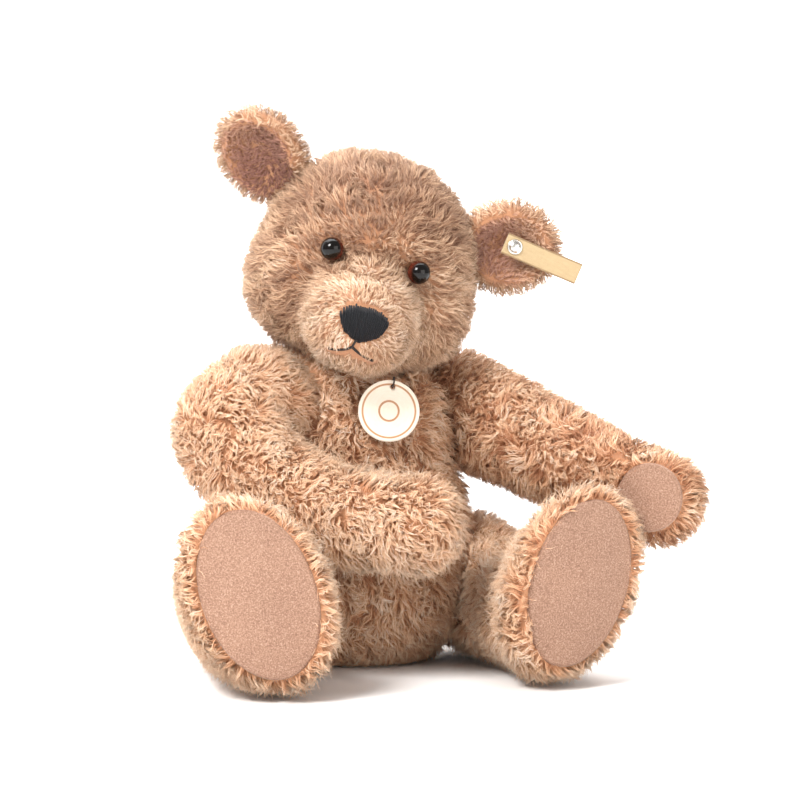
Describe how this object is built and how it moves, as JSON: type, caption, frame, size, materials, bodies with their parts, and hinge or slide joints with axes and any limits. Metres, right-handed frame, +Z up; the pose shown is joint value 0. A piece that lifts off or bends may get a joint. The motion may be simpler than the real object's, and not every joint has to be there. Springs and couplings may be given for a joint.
{
  "type": "jointed teddy bear",
  "caption": "Jointed mohair teddy bear in a sitting pose: head, arms and legs turn on disc joints; velour paw and sole pads, stitched nose, round chest tag.",
  "frame": {"origin": "the middle of the flat seat under the torso, on the surface the bear sits on", "axes": "+Z up, the torso's chest faces -Y, +X to the bear's own left"},
  "size_m": [0.242, 0.1827, 0.2583],
  "materials": {
    "mohair_plush": "wavy mohair pile",
    "stuffing": "carded fibre",
    "pad_velour": "short velour",
    "fibreboard": "pressed fibreboard, sawn edge",
    "zinc_steel": "zinc plated",
    "nickel_button": "nickel plated, lightly worn",
    "eye_plastic": "polished",
    "black_thread": "satin stitched cotton",
    "tan_thread": "twisted cotton",
    "cotton_ribbon": "woven, undyed",
    "card": "coated card"
  },
  "bodies": {
    "torso": {"torso_cover": "mohair_plush", "torso_stuffing": "stuffing", "back_closing_seam": "tan_thread", "neck_body_disc": "fibreboard", "right_shoulder_body_disc": "fibreboard", "left_shoulder_body_disc": "fibreboard", "right_hip_body_disc": "fibreboard", "left_hip_body_disc": "fibreboard", "chest_tag_thread": "black_thread"},
    "head": {"head_cover": "mohair_plush", "head_stuffing": "stuffing", "right_ear": "mohair_plush", "left_ear": "mohair_plush", "right_eye": "eye_plastic", "left_eye": "eye_plastic", "eye_lock_washers": "zinc_steel", "nose_stitching": "black_thread", "mouth_stitching": "black_thread", "neck_head_disc": "fibreboard", "neck_bolt": "zinc_steel", "neck_washers": "zinc_steel", "neck_lock_nut": "zinc_steel", "ear_button": "nickel_button", "ear_ribbon_tag": "cotton_ribbon"},
    "right_arm": {"right_arm_cover": "mohair_plush", "right_arm_stuffing": "stuffing", "right_paw_pad": "pad_velour", "right_arm_disc": "fibreboard", "right_shoulder_bolt": "zinc_steel", "right_shoulder_washers": "zinc_steel", "right_shoulder_lock_nut": "zinc_steel"},
    "left_arm": {"left_arm_cover": "mohair_plush", "left_arm_stuffing": "stuffing", "left_paw_pad": "pad_velour", "left_arm_disc": "fibreboard", "left_shoulder_bolt": "zinc_steel", "left_shoulder_washers": "zinc_steel", "left_shoulder_lock_nut": "zinc_steel"},
    "right_leg": {"right_leg_cover": "mohair_plush", "right_leg_stuffing": "stuffing", "right_sole_pad": "pad_velour", "right_insole": "fibreboard", "right_leg_disc": "fibreboard", "right_hip_bolt": "zinc_steel", "right_hip_washers": "zinc_steel", "right_hip_lock_nut": "zinc_steel"},
    "left_leg": {"left_leg_cover": "mohair_plush", "left_leg_stuffing": "stuffing", "left_sole_pad": "pad_velour", "left_insole": "fibreboard", "left_leg_disc": "fibreboard", "left_hip_bolt": "zinc_steel", "left_hip_washers": "zinc_steel", "left_hip_lock_nut": "zinc_steel"},
    "chest_tag": {"chest_tag": "card"}
  },
  "joints": [
    {"name": "neck_turn", "type": "hinge", "parent": "torso", "child": "head", "pos_m": [-0.011, -0.004, 0.142], "axis": [0.2313, -0.0842, 0.9692], "range_deg": [-180, 30]},
    {"name": "right_shoulder", "type": "hinge", "parent": "torso", "child": "right_arm", "pos_m": [-0.0418, -0.015, 0.117], "axis": [-0.8865, -0.4132, 0.2081], "range_deg": [-3, 32]},
    {"name": "left_shoulder", "type": "hinge", "parent": "torso", "child": "left_arm", "pos_m": [0.0359, -0.0035, 0.1143], "axis": [0.9777, -0.03, 0.2079], "range_deg": [-45, 25]},
    {"name": "right_hip", "type": "hinge", "parent": "torso", "child": "right_leg", "pos_m": [-0.0436, 0.003, 0.0385], "axis": [-0.9907, 0.0867, -0.1045], "range_deg": [-180, 5]},
    {"name": "left_hip", "type": "hinge", "parent": "torso", "child": "left_leg", "pos_m": [0.0436, 0.002, 0.0385], "axis": [0.9932, -0.052, -0.1045], "range_deg": [0, 180]},
    {"name": "chest_tag_swing", "type": "hinge", "parent": "torso", "child": "chest_tag", "pos_m": [0, -0.05082, 0.13033], "axis": [-0.9582, 0.2281, 0.1728], "range_deg": [0, 28]}
  ]
}
